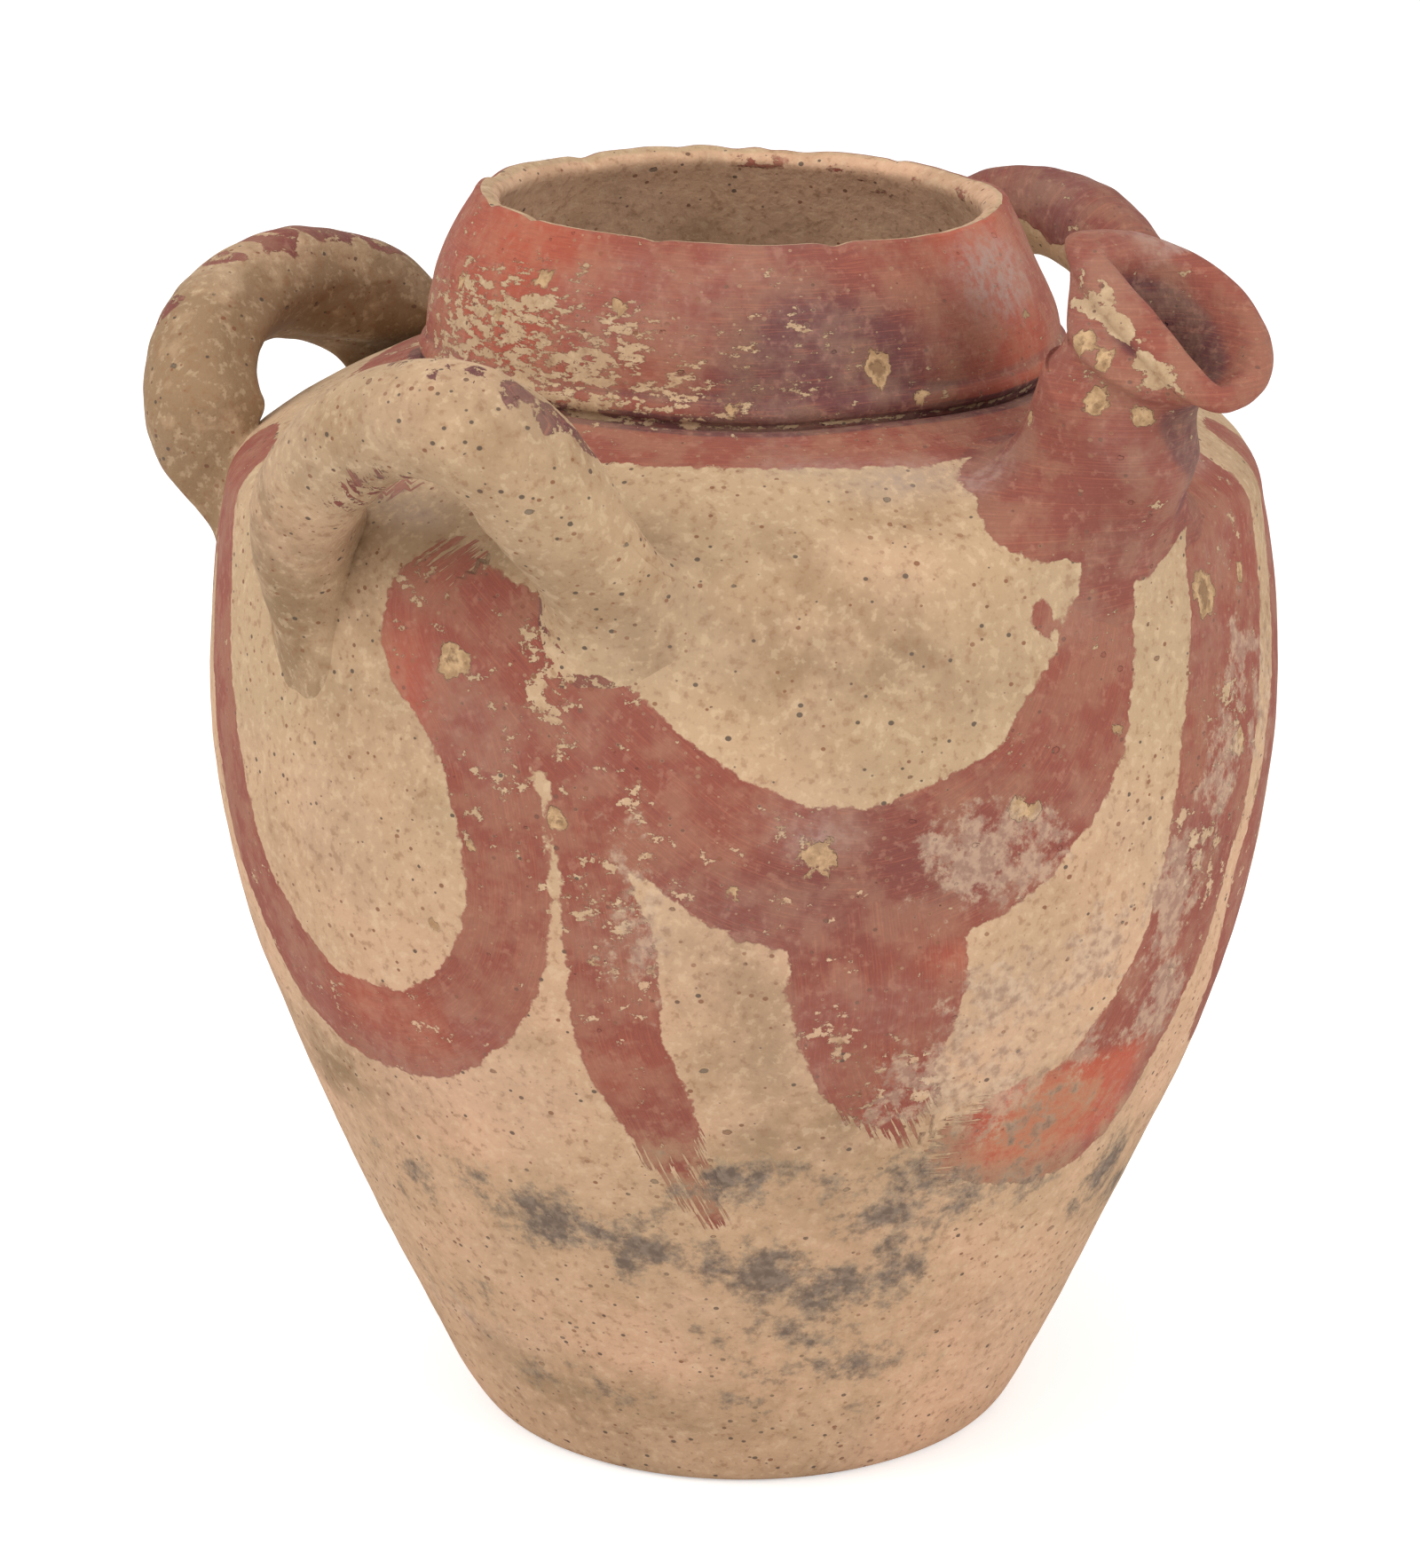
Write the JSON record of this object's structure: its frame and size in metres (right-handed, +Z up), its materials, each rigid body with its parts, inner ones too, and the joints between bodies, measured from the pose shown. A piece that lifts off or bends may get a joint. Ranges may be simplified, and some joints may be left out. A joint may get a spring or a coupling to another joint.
{
  "type": "spouted jar",
  "caption": "Hand-built clay jar with an ovoid body, short collar, upright flared pouring spout and upswung loop handles on the shoulder, painted with red slip bands.",
  "frame": {"origin": "centre of the flat base where the jar stands", "axes": "+Z up along the jar's axis, +X in the direction the spout pours, +Y to the left of the spout"},
  "size_m": [0.2317, 0.2439, 0.246],
  "materials": {
    "buff_clay": "matt, unglazed, slip painted",
    "red_slipped_clay": "matt red slip, worn"
  },
  "bodies": {
    "root": {"base_disc": "buff_clay", "lower_wall": "buff_clay", "belly_wall": "buff_clay", "upper_wall": "buff_clay", "shoulder_ring": "buff_clay", "handle_right": "buff_clay", "handle_right_root_rear": "buff_clay", "handle_right_root_front": "buff_clay", "handle_left": "buff_clay", "handle_left_root_front": "buff_clay", "handle_left_root_rear": "buff_clay", "handle_rear": "buff_clay", "handle_rear_root_left": "buff_clay", "handle_rear_root_right": "buff_clay", "collar": "red_slipped_clay", "collar_foot_bead": "red_slipped_clay", "spout_root": "red_slipped_clay", "spout_neck": "red_slipped_clay", "spout_lip": "red_slipped_clay"}
  },
  "joints": []
}
